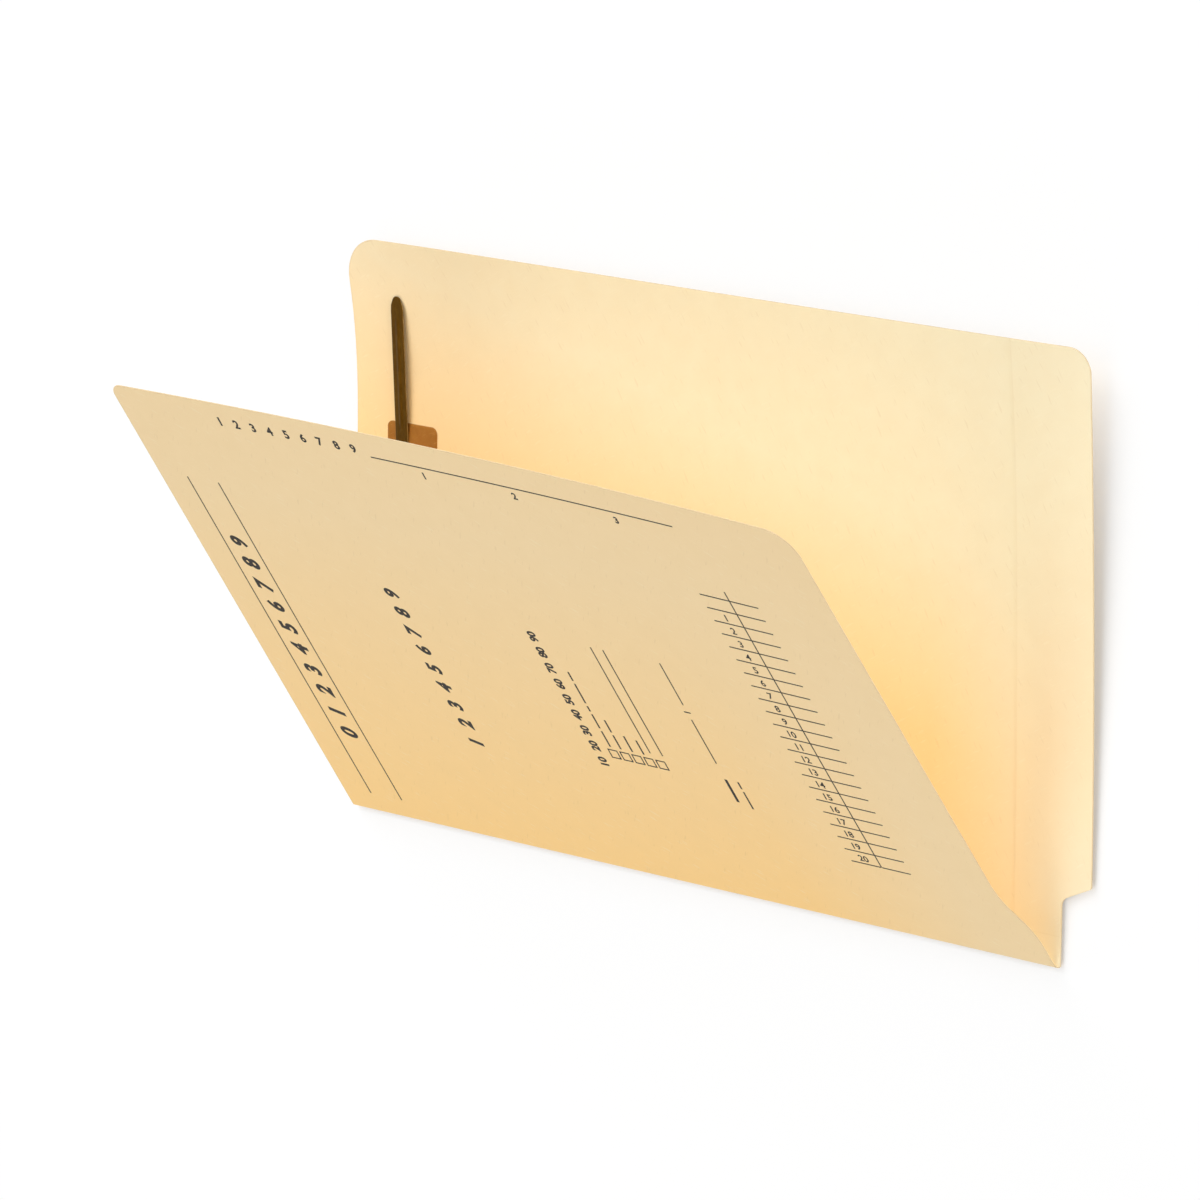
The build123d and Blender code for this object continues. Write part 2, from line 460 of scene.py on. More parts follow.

# %% [markdown]
# ## Manila card
# The finish is matte and warm. The outside is given a deeper colour than the inside, a painted shade
# for the side of the card that faces away from the lamps. Along the fold the outside is painted brighter
# and more orange, a painted warm glow of bounced light, less so by the tab. The inside is palest in the
# open middle, and deeper under the cover, a painted shade with warm bounced light in it. It is also
# deeper towards the left end, and on the tab it is darkened by a painted shade. The cut walls are painted
# darker, a painted shade that keeps the lit cut from glowing. A flat colour would look like plastic, so
# clouds and fibres shift it by a few percent, and their height gives the light something to graze. The
# fibres run in the flat blank's own coordinates, stored on the mesh as flat_place, so they bend with
# the card.

# %% Helpers for what a finish reads
def new_material(name):
    """A material, its node tree and its Principled shader."""
    material = bpy.data.materials.new(name)
    material.use_nodes = True
    return material, material.node_tree, material.node_tree.nodes["Principled BSDF"]


def stored(tree, name, output):
    """A value that the mesh stores at its points."""
    return add_node(tree, "Attribute", {}, attribute_name=name).outputs[output]


def fibre_masks(tree, place, cloud_scale, fibre_scale):
    """The paper fibre group, placed in a material."""
    sockets = {"Place": place, "Cloud Scale": cloud_scale, "Fibre Scale": fibre_scale}
    return add_node(tree, "Group", sockets, node_tree=paper_fibre).outputs


def worn_edges(tree, place, patch_scale):
    """The edge wear group, placed in a material."""
    sockets = {"Place": place, "Rim": stored(tree, "cut_edge", "Fac"), "Patch Scale": patch_scale}
    return add_node(tree, "Group", sockets, node_tree=edge_wear).outputs["Worn"]


# %% Helpers for the look of a finish
bump_strength = 0.5
paper_shine = 0.25


def tint(tree, amount, under, over):
    """Lays one colour over another. The amount is a mask from 0 to 1."""
    mixed = add_node(tree, "Mix", {"Factor": amount}, data_type="RGBA")
    for socket, colour in ((mixed.inputs[6], under), (mixed.inputs[7], over)):
        if isinstance(colour, bpy.types.NodeSocket):
            tree.links.new(colour, socket)
        else:
            socket.default_value = (*colour, 1)
    return mixed.outputs[2]


def layered(tree, colour, layers):
    """Lays shades over a colour. Each layer is a mask, the share of it that shows, and a shade."""
    for mask, share, shade in layers:
        colour = tint(tree, multiply(tree, mask, share), colour, shade)
    return colour


def matte(tree, shader, colour, mask, smoothest, roughest):
    """Gives a shader its colour, a roughness that follows a mask, and the low shine of paper."""
    tree.links.new(colour, shader.inputs["Base Color"])
    tree.links.new(remap(tree, mask, 0.0, 1.0, smoothest, roughest), shader.inputs["Roughness"])
    shader.inputs["Specular IOR Level"].default_value = paper_shine


def rough_bump(tree, shader, height, depth):
    """Turns a height mask into small relief."""
    bump = add_node(tree, "Bump", {"Height": height, "Distance": depth, "Strength": bump_strength})
    tree.links.new(bump.outputs["Normal"], shader.inputs["Normal"])


# %% Tones of the card, and where they lie
# Each pair of lengths says where a tone starts and where it is full, up from the fold or along it.
card_inside = (0.93, 0.838, 0.598)
# painted shade: the outside of the same card is given a deeper colour than the inside
card_outside_shade = (0.905, 0.694, 0.403)
# painted light and shade by the fold: a warm glow of bounced light on the outside, and a painted shade
# with warm bounce under the cover on the inside
card_fold_glow_and_shade = (0.985, 0.65, 0.266)
# painted shade on the tab
card_tab_shade = (0.89, 0.73, 0.48)
# deeper towards the left end of the inside
card_left_end_tone = (0.86, 0.72, 0.47)
# soil along the cut rim, and painted shade that keeps the lit rim dim
card_rim_soil_and_shade = (0.62, 0.46, 0.25)
# painted shade on the cut walls
card_cut_shade = (0.50, 0.37, 0.20)
card_cloud = (0.80, 0.60, 0.33)
card_dark_fibre = (0.55, 0.36, 0.16)
card_light_fibre = (0.98, 0.90, 0.68)

# where the painted glow along the fold, on the outside, starts and is full
fold_glow_up = (190 * MM, 0.0)
fold_glow_along = (150 * MM, 60 * MM)
# where the painted shade under the cover, on the inside, starts and is full
cover_shade_slant = 0.26
cover_shade_up = (188 * MM, 108 * MM)
cover_shade_along = (185 * MM, 115 * MM)
cover_shade_depth = 0.72
tab_along = (154 * MM, 172 * MM)
tab_up = (190 * MM, 80 * MM)
tab_at_top = 0.1
tab_foot = (0.0, 90 * MM)
tab_at_foot = 0.3
left_end_along = (-70 * MM, -160 * MM)
left_end_depth = 0.6
cut_softness = 0.1
cut_depth = 0.45
tooth_height = 0.006 * MM
print(f"shelter of the cover is full {cover_shade_up[1] / MM:.0f} mm from the fold")

# %% Masks of the card
manila_card, tree, shader = new_material("manila_card")
blank_place = stored(tree, "flat_place", "Vector")
along, across, layer = add_node(tree, "SeparateXYZ", {"Vector": blank_place}).outputs
outside = remap(tree, layer, inner_layer, outer_layer)
inside = add_node(tree, "Math", {0: 1.0, 1: outside}, operation="SUBTRACT").outputs[0]
# painted shade: the cut walls between the two sides are darkened
on_cut = remap(tree, multiply(tree, outside, inside), 0.0, cut_softness, 0.0, cut_depth)
from_fold = add_node(tree, "Math", {0: across}, operation="ABSOLUTE").outputs[0]
# painted warm glow of bounced light along the outside of the fold, weaker towards the tab
painted_fold_glow = multiply(tree, remap(tree, from_fold, *fold_glow_up), remap(tree, along, *fold_glow_along))
# painted shade with warm bounced light under the cover, on the inside
into_cover_shade = add_node(
    tree, "Math", {0: along, 1: cover_shade_slant, 2: from_fold}, operation="MULTIPLY_ADD"
).outputs[0]
painted_cover_shade = multiply(
    tree,
    remap(tree, into_cover_shade, *cover_shade_up, 0.0, cover_shade_depth),
    remap(tree, along, *cover_shade_along),
)
# the outside takes the painted fold glow, the inside the painted shade under the cover
fold_glow_and_shade = remap(tree, outside, 0.0, 1.0, painted_cover_shade, painted_fold_glow)
# painted shade on the tab: strongest low on it, weaker at its top and right by the fold
painted_tab_shade = multiply(
    tree,
    remap(tree, from_fold, *tab_up, tab_at_top, 1.0),
    remap(tree, along, *tab_along),
)
painted_tab_shade = multiply(tree, painted_tab_shade, remap(tree, from_fold, *tab_foot, tab_at_foot, 1.0))
# deeper towards the left end, full beyond the fastener's side
toward_left_end = remap(tree, along, *left_end_along, 0.0, left_end_depth)
print("masks of the card take", len(tree.nodes), "nodes")

# %% Manila card material
fibre = fibre_masks(tree, blank_place, cloud_scale=90.0, fibre_scale=900.0)
worn = worn_edges(tree, blank_place, patch_scale=120.0)
# painted shade on the tab
colour = tint(tree, painted_tab_shade, card_inside, card_tab_shade)
colour = tint(tree, toward_left_end, colour, card_left_end_tone)
# painted shade on the outside of the card
colour = tint(tree, outside, colour, card_outside_shade)
# painted light and shade by the fold
colour = tint(tree, fold_glow_and_shade, colour, card_fold_glow_and_shade)
colour = layered(tree, colour, (
    (fibre["Clouds"], 0.10, card_cloud),
    (fibre["Dark Fibres"], 0.12, card_dark_fibre),
    (fibre["Light Fibres"], 0.16, card_light_fibre),
    # soil along the cut rim, and painted shade there
    (worn, 0.45, card_rim_soil_and_shade),
))
# painted shade on the cut walls
colour = tint(tree, on_cut, colour, card_cut_shade)
matte(tree, shader, colour, fibre["Clouds"], smoothest=0.78, roughest=0.9)
rough_bump(tree, shader, fibre["Tooth"], tooth_height)
folder_card.data.materials.append(manila_card)
print("manila_card has", len(tree.nodes), "nodes")

# %% [markdown]
# ## Tab ply
# The tab of a shelf folder is handled most, so a second, thinner ply is glued on its inside and cut
# with the same die. Only its long straight edge shows, as a faint line down the panel, because its foot
# is pressed thin for paper to slide over. It is folded with the card's own functions, from its own die
# line, so it follows the card's curl and its rim stays flush with the card's.

# %% Tab ply
ply_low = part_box("tab_reinforcement")[0]
ply_mesh = frame["nodes"]["tab_reinforcement"].data
ply = max(v.co.z for v in ply_mesh.vertices if v.co.y < ply_low.y + edge_band) - card
ply_line = [on_back(p) for p in die_lines("tab_reinforcement", up_from_table)[0]]
ply_blank = cut_grid(flat_piece(ply_line, edge_band))
pressed_foot = 8 * MM
foot_thickness = 0.05 * MM
ply_edge_mark = 0.3


def smooth_step(value):
    """0 below 0, 1 above 1, and a soft slope between."""
    value = min(1, max(0, value))
    return value * value * (3 - 2 * value)


def ply_top(x, s):
    """The ply's upper side, thin at its foot."""
    above_foot = smooth_step((fold.y - s - ply_low.y) / pressed_foot)
    return -card / 2 - foot_thickness - (ply - foot_thickness) * above_foot


tab_ply = fold_sheet("tab_ply", ply_blank, ply_top, level(-card / 2), ply_edge_mark)
tab_ply.data.materials.append(manila_card)
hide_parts("tab_reinforcement")
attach(tab_ply, "back")
print(f"tab ply and its glue are {ply / MM:.2f} mm thick")

# %% [markdown]
# ## Fibre pad
# The fastener is bonded to the card by a pad of brown fibre. The metal strip lies between pad and card,
# and the press that bonds them leaves the strip's shape standing out of the pad, with the pad thinner
# all round it. Prongs come through two slits. So the pad is one more flat piece: its outline and slits
# come from the CAD, close cuts let it follow the strip, and its two sides get an offset that depends on
# how near the strip is.

# %% Shape of the pad
pad_low, pad_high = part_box("fastener_pad")
strip_low, strip_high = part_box("fastener_strip")
pad = pad_high.z - pad_low.z
strip_middle = (strip_low + strip_high) / 2
strip_half = (strip_high.x - strip_low.x) / 2
strip_straight = (strip_high.y - strip_low.y) / 2 - strip_half
metal = strip_high.z - strip_low.z
strip_room = 0.1 * MM
press_width = 1.4 * MM
pressed = 0.20 * MM
pad_round = 0.22 * MM
print(f"strip is {metal / MM:.2f} mm thick, under a pad of {pad / MM:.2f} mm")


def off_strip(x, s):
    """0 over the metal strip, and 1 where the pad lies flat on the card."""
    beyond = max(0, abs(fold.y - s - strip_middle.y) - strip_straight)
    return smooth_step((math.hypot(x - strip_middle.x, beyond) - strip_half - strip_room) / press_width)


def off_rim(x, s):
    """How far the pad's top edge is rounded down, 1 at the rim and 0 a little inside it."""
    inside = min(x - pad_low.x, pad_high.x - x, fold.y - s - pad_low.y, pad_high.y - fold.y + s)
    return 1 - math.sqrt(1 - (1 - min(1, inside / edge_band)) ** 2)


def pad_top(x, s):
    """The pad's upper side, highest over the strip."""
    return -card / 2 - pad + pressed * off_strip(x, s) + pad_round * off_rim(x, s)


def pad_underside(x, s):
    """The pad's lower side, which makes room for the strip."""
    return -card / 2 - (metal + strip_room) * (1 - off_strip(x, s))


# %% Fibre pad
pad_step = 0.9 * MM
pad_edge_band = edge_band / 2
pad_rims = [[on_back(p) for p in rim] for rim in die_lines("fastener_pad", up_from_table)]
pad_blank = cut_grid(flat_piece(pad_rims[0], pad_edge_band), pad_step)
for slit in pad_rims[1:]:
    x0, s0 = map(min, zip(*slit))
    x1, s1 = map(max, zip(*slit))
    for x in (x0, x1):
        cut(pad_blank, (x, 0, 0), (1, 0, 0))
    for s in (s0, s1):
        cut(pad_blank, (0, s, 0), (0, 1, 0))
    centres = [(f, f.calc_center_median()) for f in pad_blank.faces]
    through = [f for f, c in centres if x0 < c.x < x1 and s0 < c.y < s1]
    bmesh.ops.delete(pad_blank, geom=through, context="FACES")
fastener_base = fold_sheet("fastener_base", pad_blank, pad_top, pad_underside)
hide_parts("fastener_pad")
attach(fastener_base, "back")
print(f"pad is {pad / MM:.1f} mm thick over the strip, with {len(pad_rims) - 1} slits")

# %% [markdown]
# Vulcanised fibre is denser than card: orange-brown, with darker clouds, and rubbed paler along its
# edge. It takes the same two groups as the card, at a finer scale.

# %% Fibre pad material
pad_brown = (0.36, 0.145, 0.016)
pad_cloud = (0.24, 0.085, 0.010)
pad_rubbed = (0.50, 0.25, 0.060)
pad_tooth = 0.02 * MM

pad_fibre, tree, shader = new_material("pad_fibre")
pad_place = stored(tree, "flat_place", "Vector")
fibre = fibre_masks(tree, pad_place, cloud_scale=260.0, fibre_scale=1500.0)
worn = worn_edges(tree, pad_place, patch_scale=300.0)
colour = layered(tree, pad_brown, (
    (fibre["Clouds"], 0.35, pad_cloud),
    (fibre["Dark Fibres"], 0.5, pad_cloud),
    (fibre["Light Fibres"], 0.4, pad_rubbed),
    (worn, 0.6, pad_rubbed),
))
matte(tree, shader, colour, fibre["Clouds"], smoothest=0.55, roughest=0.75)
rough_bump(tree, shader, fibre["Tooth"], pad_tooth)
fastener_base.data.materials.append(pad_fibre)
print("pad_fibre has", len(tree.nodes), "nodes")

# %% [markdown]
# ## Prongs
# Each prong is a long tongue of thin steel, narrowed to a blunt point, with a rib pressed along it for
# stiffness and its long edges turned slightly down so that they don't cut paper. At its foot it rolls
# round its bending line. A solid could be filled and bevelled, but a tongue is a loft: one
# cross-section, carried along the metal's middle line and narrowed on the way. The upper prong is bent
# up a little, clear of the curling card, and the lower one lies flat.

# %% Sizes of a prong
mostly_up = 0.5
bend_line = Vector(next(j for j in frame["joints"] if j["name"] == "upper_prong_bend")["pos_m"])
prong_low, prong_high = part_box("upper_prong")
prong_half = (prong_high.x - prong_low.x) / 2
prong_faces = frame["nodes"]["upper_prong"].data.polygons
prong_top = max((f for f in prong_faces if f.normal.z > mostly_up), key=lambda f: f.area).normal
prong_rise = math.atan2(-prong_top.y, prong_top.z)
prong_length = (prong_high.y - bend_line.y) / math.cos(prong_rise)
roll_radius = bend_line.y - prong_low.y - metal / 2
prong_taper = 4.2 * MM
prong_tip_half = 1.6 * MM
prong_tip_round = 1.4 * MM
prong_settle = 0.9 * MM
rib_height = 0.2 * MM
rib_half = 0.9 * MM
rib_from = 9 * MM
turned_edge = 0.1 * MM
turned_from = 0.8
across_prong = (0, 0.1, 0.17, 0.27, 0.5, 0.8, 0.9, 0.965)
print(f"prong is {prong_length / MM:.1f} mm long and rises {math.degrees(prong_rise):.1f} degrees")


# %% Cross-section and middle line of a prong
def prong_half_width(t):
    """Half the tongue's width at a distance from its bending line."""
    to_tip = prong_length - t
    half = prong_half + (prong_tip_half - prong_half) * max(0, 1 - to_tip / prong_taper)
    short = max(0, prong_tip_round - to_tip)
    return half - prong_tip_round + math.sqrt(prong_tip_round**2 - short**2)


def prong_relief(t, aside, share):
    """How far the rib stands up and the edges turn down, at a place across the tongue."""
    along_rib = smooth_step((min(t, prong_length - t) - rib_from) / rib_half)
    on_rib = smooth_step(2 - 2 * abs(aside) / rib_half)
    at_edge = smooth_step((share - turned_from) / (1 - turned_from))
    return rib_height * along_rib * on_rib - turned_edge * at_edge


def prong_line(t):
    """Middle line of the metal, as y and z from the bending line, and the way its top faces there."""
    if t < 0:
        turn = math.pi / 2 - t / roll_radius
        facing = (math.cos(turn), math.sin(turn))
        return roll_radius * facing[0], roll_radius * facing[1], facing
    return t, roll_radius * (1 - smooth_step(t / prong_settle)), (0, 1)


def prong_section(t):
    """One closed ring of the tongue: (x, y, z) from the bending line, and how worn each point is."""
    y, z, facing = prong_line(t)
    half = prong_half_width(t)
    shares = [-share for share in reversed(across_prong[1:])] + list(across_prong)

    def at(share, side):
        """The point at a share of the half width, on the top (1), the edge (0) or the underside (-1)."""
        aside = share * half
        out = side * metal / 2 + prong_relief(t, aside, abs(share))
        return aside, y + out * facing[0], z + out * facing[1]

    ring = [at(share, 1) for share in shares] + [at(1, 0)]
    ring += [at(share, -1) for share in reversed(shares)] + [at(-1, 0)]
    edge = [1.0 if abs(share) == across_prong[-1] else 0.0 for share in shares]
    return ring, edge + [1.0] + edge + [1.0]


# %% Loft the prongs
roll_turn = math.radians(270)
roll = roll_radius * roll_turn
roll_steps = 12
settle_steps = 6
prong_steps = 26
tip_steps = 6
tip_start = prong_length - prong_tip_round
stations = [-roll * (1 - i / roll_steps) for i in range(roll_steps)]
stations += [prong_settle * i / settle_steps for i in range(settle_steps)]
stations += [prong_settle + (tip_start - prong_settle) * i / prong_steps for i in range(prong_steps)]
tip_turns = [math.pi / 2 * i / tip_steps for i in range(tip_steps + 1)]
stations += [tip_start + prong_tip_round * math.sin(turn) for turn in tip_turns]


def loft_prong(name, root_y, direction, rise):
    """A prong that points up the panel (direction 1) or down to the fold (-1), raised by an angle."""
    points, worn, faces = [], [], []
    for t in stations:
        ring, edge = prong_section(t)
        worn += edge
        for x, y, z in ring:
            along = y * math.cos(rise) - z * math.sin(rise)
            above = y * math.sin(rise) + z * math.cos(rise)
            points.append(Vector((bend_line.x + x, root_y + direction * along, bend_line.z + above)))
    size = len(ring)
    for start in range(0, len(points) - size, size):
        for i in range(size):
            j = (i + 1) % size
            faces.append([start + i, start + j, start + size + j, start + size + i])
    faces.append(list(range(size - 1, -1, -1)))
    faces.append(list(range(len(points) - size, len(points))))
    if direction < 0:
        faces = [face[::-1] for face in faces]
    return new_piece(name, points, faces, points, worn)


# %% The two prongs
upper_tongue = loft_prong("upper_tongue", bend_line.y, 1, prong_rise)
lower_tongue = loft_prong("lower_tongue", 2 * strip_middle.y - bend_line.y, -1, 0)
for tongue, node, body in (
    (upper_tongue, "upper_prong", "upper_prong"),
    (lower_tongue, "lower_prong", "back"),
):
    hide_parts(node)
    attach(tongue, body)

# %% [markdown]
# The steel is lacquered a dark bronze. Lacquer over metal keeps the metal's tinted shine, drawn out
# lengthwise by the rolling of the strip, and it wears through to a brassy colour along the edges, where
# the edge wear group puts it; that paler edge is also a painted highlight. The strip under the pad keeps
# its CAD shape and takes the same finish.
# Its mesh has no stored coordinates, so this material reads the object's own, which are the same place.

# %% Bronze lacquer
lacquer_bronze = (0.088, 0.039, 0.003)
lacquer_thin = (0.16, 0.08, 0.009)
# brassy wear along the edges, and a painted highlight there
worn_brass_and_highlight = (0.50, 0.33, 0.13)
rolling_stretch = (1.0, 0.02, 1.0)
rolling_scale = 4000.0
rolling_detail = 2.0
rolling_edges = (0.45, 0.75)
rolling_depth = 0.004 * MM
blotch_scale = 350.0
blotch_detail = 4.0
blotch_edges = (0.5, 0.75)
sheen_edges = (0.3, 0.7)
sheen_roughness = (0.32, 0.48)

bronze_lacquer, tree, shader = new_material("bronze_lacquer")
metal_place = add_node(tree, "TexCoord", {}).outputs["Object"]
rolled = stretched(tree, metal_place, rolling_stretch)
rolling_lines = noise(tree, rolled, rolling_scale, rolling_detail)
blotches = noise(tree, metal_place, blotch_scale, blotch_detail)
worn = worn_edges(tree, metal_place, patch_scale=400.0)
thin_lines = remap(tree, rolling_lines, *rolling_edges)
thin_blotches = remap(tree, blotches, *blotch_edges)
colour = layered(tree, lacquer_bronze, (
    (thin_lines, 0.5, lacquer_thin),
    (thin_blotches, 0.4, lacquer_thin),
    # brassy wear and painted highlight along the edges
    (worn, 0.45, worn_brass_and_highlight),
))
tree.links.new(colour, shader.inputs["Base Color"])
tree.links.new(remap(tree, blotches, *sheen_edges, *sheen_roughness), shader.inputs["Roughness"])
shader.inputs["Metallic"].default_value = 1.0
rough_bump(tree, shader, rolling_lines, rolling_depth)
for tongue in (upper_tongue, lower_tongue):
    tongue.data.materials.append(bronze_lacquer)
for slot in frame["nodes"]["fastener_strip"].material_slots:
    slot.material = bronze_lacquer
print("bronze_lacquer has", len(tree.nodes), "nodes")

# %% [markdown]
# ## Printed form
# The cover is printed with a ruled form in one black: long rules, a row of check boxes, an index table
# and plain numbers. Ink has almost no thickness, so it could be a mask in the card's shader, but as
# thin closed shapes laid on the card its edges stay crisp from any distance. Rules are rectangles in
# the blank's coordinates, measured in millimetres from the blank's left edge and up from the fold, and
# they are folded with the card's own functions.

# %% Rules, boxes and dashes
rule_width = 0.65
dash_width = 0.9
dash_gap = 1.6
bars = []


def rule_up(x, up0, up1, width=rule_width):
    """A printed rule across the fold's direction."""
    bars.append((x - width / 2, x + width / 2, up0, up1))


def rule_along(x0, x1, up):
    """A printed rule along the fold."""
    bars.append((x0, x1, up - rule_width / 2, up + rule_width / 2))


def check_box(x, up, size):
    """An open square of four rules."""
    for side in (up, up + size):
        rule_along(x - rule_width / 2, x + size + rule_width / 2, side)
    for side in (x, x + size):
        rule_up(side, up + rule_width / 2, up + size - rule_width / 2)


def dashes(x, up, lengths, width=dash_width):
    """A row of short dashes up the cover."""
    for length in lengths:
        rule_up(x, up, up + length, width)
        up += length + dash_gap


# %% Bars of the form
margin_rules = (16.3, 33.9)
margin_span = (10.5, 193)
entry_rules = (208.3, 214.8)
entry_span = (81.3, 141)
split_rule = 244.4
split_spans = ((117.7, 141), (84.6, 109.5))
head_rule = 227.8
head_span = (138.7, 297)
box_count = 5
box_left = 184.0
box_pitch = 6.3
box_up = 73.0
box_size = 4.6
box_dashes_up = 79.5
box_dashes = ((186.3, (9, 8, 3, 11, 5)), (191.9, (8, 7)), (198.0, (9,)), (204.0, (8,)))
bold_dash_width = 1.5

for x in margin_rules:
    rule_up(x, *margin_span)
for x in entry_rules:
    rule_up(x, *entry_span)
for span in split_spans:
    rule_up(split_rule, *span)
rule_along(*head_span, head_rule)
for i in range(box_count):
    check_box(box_left + box_pitch * i, box_up, box_size)
for x, lengths in box_dashes:
    dashes(x, box_dashes_up, lengths)
dashes(split_rule, up=62.5, lengths=(13,), width=bold_dash_width)
dashes(x=250.8, up=60.0, lengths=(10, 4))
print("the form has", len(bars), "bars so far")

# %% Index table
table_rows = 21
table_top = 190.5
table_pitch = 7.13
table_left = 291.0
table_spine = 306.0
table_right = 320.5
spine_above = 5

rule_up(table_spine, table_top - table_pitch * table_rows, table_top + spine_above)
for row in range(table_rows + 1):
    up = table_top - table_pitch * row
    rule_along(table_left, table_spine - rule_width / 2, up)
    rule_along(table_spine + rule_width / 2, table_right, up)
print(f"index table has {table_rows} rows of {table_pitch} mm")

# %% Shape of a number
outline_steps = 5


def number_shape(text, lean, weight):
    """Filled outlines of a number in the built-in font, as points and faces, 1 tall and centred."""
    curve = bpy.data.curves.new("number", "FONT")
    curve.body = text
    curve.shear = lean
    curve.offset = weight
    curve.resolution_u = outline_steps
    number = bpy.data.objects.new("number", curve)
    bpy.context.scene.collection.objects.link(number)
    evaluated = number.evaluated_get(bpy.context.evaluated_depsgraph_get())
    shape = bpy.data.meshes.new_from_object(evaluated)
    points = [v.co.xy for v in shape.vertices]
    faces = [list(f.vertices) for f in shape.polygons]
    bpy.data.objects.remove(number)
    bpy.data.curves.remove(curve)
    bpy.data.meshes.remove(shape)
    low = Vector(map(min, zip(*points)))
    high = Vector(map(max, zip(*points)))
    return [(p - (low + high) / 2) / (high.y - low.y) for p in points], faces


def on_cover(x, up):
    """Millimetres from the cover's left edge and up from the fold, as x, s and 0 on the blank."""
    return blank_left + x * MM, bend_length + up * MM, 0


def add_number(flat, text, x, up, height, turned=False, lean=0.0, weight=0.0):
    """Puts a number on a flat mesh. A turned one reads up the cover."""
    points, faces = number_shape(text, lean, weight)
    if turned:
        points = [Vector((-p.y, p.x)) for p in points]
    made = [flat.verts.new(on_cover(x + p.x * height, up + p.y * height)) for p in points]
    for face in faces:
        flat.faces.new([made[i] for i in face])


# %% Rows of numbers
numbers = bmesh.new()


def number_row(texts, x, up, pitch, height, weight, turned=True, lean=0.0):
    """A row of turned numbers that goes up the cover, or of upright ones along it."""
    for i, text in enumerate(texts):
        right, above = (0, pitch * i) if turned else (pitch * i, 0)
        add_number(numbers, text, x + right, up + above, height, turned, lean, weight)


bold = 0.045
half_bold = 0.035
medium = 0.03
book = 0.02
italic = 0.25
digits = [str(i) for i in range(10)]
tens = [str(10 * i) for i in range(1, 10)]
entry_places = (("1", 165), ("2", 213), ("3", 266))
table_middle = 298.5
row_middle = 0.55

number_row(digits, x=25.3, up=49, pitch=12.2, height=8.6, weight=bold, lean=italic)
number_row(digits[1:], x=104.3, up=62, pitch=10.6, height=7.4, weight=bold, lean=italic)
number_row(tens, x=176.9, up=69, pitch=8.8, height=4.6, weight=bold)
number_row(digits[1:], x=57, up=230.6, pitch=9.2, height=4.6, weight=half_bold, turned=False)
for text, x in entry_places:
    add_number(numbers, text, x, up=223.4, height=3.6, weight=half_bold)
add_number(numbers, "1", split_rule, up=113.6, height=3.4, turned=True, weight=medium)
for row in range(1, table_rows):
    up = table_top - table_pitch * (row + row_middle)
    add_number(numbers, str(row), table_middle, up, height=3.6, weight=book)
print("numbers have", len(numbers.faces), "faces")

# %% Lay the print on the cover
ink_film = 0.02 * MM
ink_sides = level(card / 2 - ink_film), level(card / 2 + ink_film)
rules = bmesh.new()
for x0, x1, up0, up1 in bars:
    bar = ((x0, up0), (x1, up0), (x1, up1), (x0, up1))
    rules.faces.new([rules.verts.new(on_cover(x, up)) for x, up in bar])
printed_rules = fold_sheet("printed_rules", cut_grid(rules), *ink_sides)
printed_numbers = fold_sheet("printed_numbers", cut_grid(numbers), *ink_sides)
for printed in (printed_rules, printed_numbers):
    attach(printed, "cover")

# %% [markdown]
# Printing ink on uncoated card isn't quite black: it sinks in unevenly, and where the tooth of the card
# stands up the film is thin and a little of the card shows through. The paper group gives both, so
# print and card share one grain.

# %% Printing ink
ink_black = (0.008, 0.007, 0.006)
ink_thin = (0.05, 0.036, 0.022)

printing_ink, tree, shader = new_material("printing_ink")
ink_place = stored(tree, "flat_place", "Vector")
fibre = fibre_masks(tree, ink_place, cloud_scale=400.0, fibre_scale=1800.0)
colour = layered(tree, ink_black, ((fibre["Clouds"], 0.5, ink_thin),))
colour = tint(tree, fibre["Light Fibres"], colour, ink_thin)
matte(tree, shader, colour, fibre["Clouds"], smoothest=0.5, roughest=0.7)
for printed in (printed_rules, printed_numbers):
    printed.data.materials.append(printing_ink)
print("printing_ink has", len(tree.nodes), "nodes")

# %% [markdown]
# ## Floor
# The folder lies on a plain white sweep. A white floor lit like the folder would come out a pale grey,
# and more light would wash out the card. So the floor is a plain diffuse white, mixed with a white glow
# that only rays from the camera, reflections and glass see. The glow lights nothing, and the diffuse
# share keeps the folder's soft shadow. An Ambient Occlusion node finds where the folder lies close by
# on the lamp's side. The glow gives way there, so the shadow is deep and narrow along the card and
# fades soon, as it does on bright paper.

# %% Floor
floor_half = 4.0
floor_drop = 1.2 * MM

floor_mesh = bpy.data.meshes.new("floor")
signs = ((-1, -1), (1, -1), (1, 1), (-1, 1))
corners = [(x * floor_half, y * floor_half, -floor_drop) for x, y in signs]
floor_mesh.from_pydata(corners, [], [(0, 1, 2, 3)])
floor = bpy.data.objects.new("floor", floor_mesh)
bpy.context.scene.collection.objects.link(floor)
print("floor lies", floor_drop / MM, "mm under the folder")


# %% Floor material
def seen_directly(tree):
    """1 for rays from the camera, in reflections and through glass, and 0 for light falling on things."""
    path = add_node(tree, "LightPath", {}).outputs
    seen = path["Is Camera Ray"]
    for ray in ("Is Glossy Ray", "Is Transmission Ray"):
        seen = add_node(tree, "Math", {0: seen, 1: path[ray]}, operation="MAXIMUM").outputs[0]
    return seen


glow_beside_card = 0.18
glow_in_open = 0.9
shadow_reach = 20 * MM
shadow_side = {"X": -0.55, "Y": 0.70, "Z": 0.45}
clear_edges = (0.55, 0.97)
floor_white = (0.97, 0.97, 0.97)

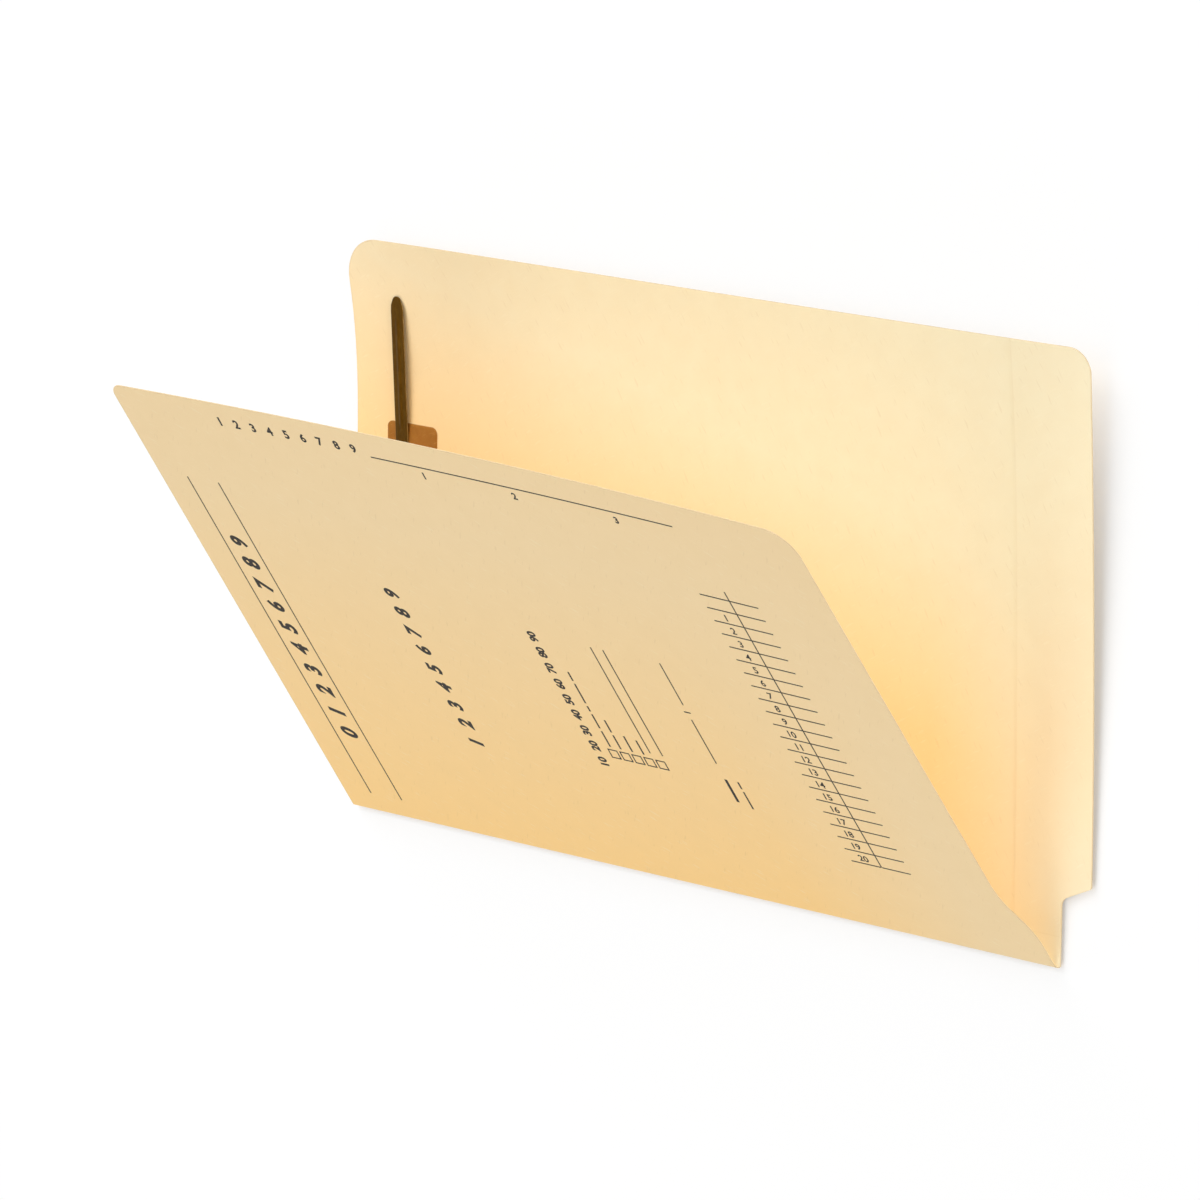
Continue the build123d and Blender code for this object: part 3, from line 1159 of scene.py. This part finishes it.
floor_paper, tree, shader = new_material("floor_paper")
shader.inputs["Base Color"].default_value = (*floor_white, 1)
shader.inputs["Roughness"].default_value = 1.0
shader.inputs["Specular IOR Level"].default_value = 0.0
glow = add_node(tree, "Emission", {"Strength": 1.0})
lamp_side = add_node(tree, "CombineXYZ", shadow_side).outputs["Vector"]
reach = {"Distance": shadow_reach, "Normal": lamp_side}
clear = add_node(tree, "AmbientOcclusion", reach).outputs["AO"]
floor_glow = remap(tree, clear, *clear_edges, glow_beside_card, glow_in_open)
share = multiply(tree, seen_directly(tree), floor_glow)
mixed = add_node(tree, "MixShader", {0: share, 1: shader.outputs["BSDF"], 2: glow.outputs["Emission"]})
tree.links.new(mixed.outputs["Shader"], tree.nodes["Material Output"].inputs["Surface"])
floor_mesh.materials.append(floor_paper)
print("floor_paper has", len(tree.nodes), "nodes")

# %% [markdown]
# ## Light
# A studio lights card with large soft sources. Two softboxes stand low, one behind the back panel's top
# edge and one at the tab's end. They shine into the open V, where light bounces between the panels and
# glows warm near the fold, and the first gives the soft shadow beside the tab. Weak ones in front and
# above open up the cover. The world gives even light from all round, and looks white to the camera
# where the floor ends.

# %% Lamps
lamp_distance = 2.3
lamp_size = 1.5


def softbox(name, towards, power):
    """A square area lamp that faces the folder from one side."""
    lamp = bpy.data.objects.new(name, bpy.data.lights.new(name, "AREA"))
    lamp.data.size = lamp_size
    lamp.data.energy = power
    lamp.location = view_target + lamp_distance * Vector(towards).normalized()
    lamp.rotation_mode = "QUATERNION"
    lamp.rotation_quaternion = Vector(towards).to_track_quat("Z", "Y")
    bpy.context.scene.collection.objects.link(lamp)


softbox("back_softbox", (-0.45, 0.80, 0.45), power=44)
softbox("tab_softbox", (0.95, 0.10, 0.25), power=25)
softbox("cover_fill", (-0.20, -0.75, 0.65), power=18)
softbox("top_fill", (0.0, 0.0, 1.0), power=7)
print("lamps stand", lamp_distance, "m away")

# %% World
ambient = 0.38
world = bpy.data.worlds.new("studio")
world.use_nodes = True
tree = world.node_tree
background = tree.nodes["Background"]
background.inputs["Color"].default_value = (1, 1, 1, 1)
strength = remap(tree, seen_directly(tree), 0.0, 1.0, ambient, 1.0)
tree.links.new(strength, background.inputs["Strength"])
bpy.context.scene.world = world
bpy.context.scene.view_settings.view_transform = "Standard"
print("world lights with strength", ambient)
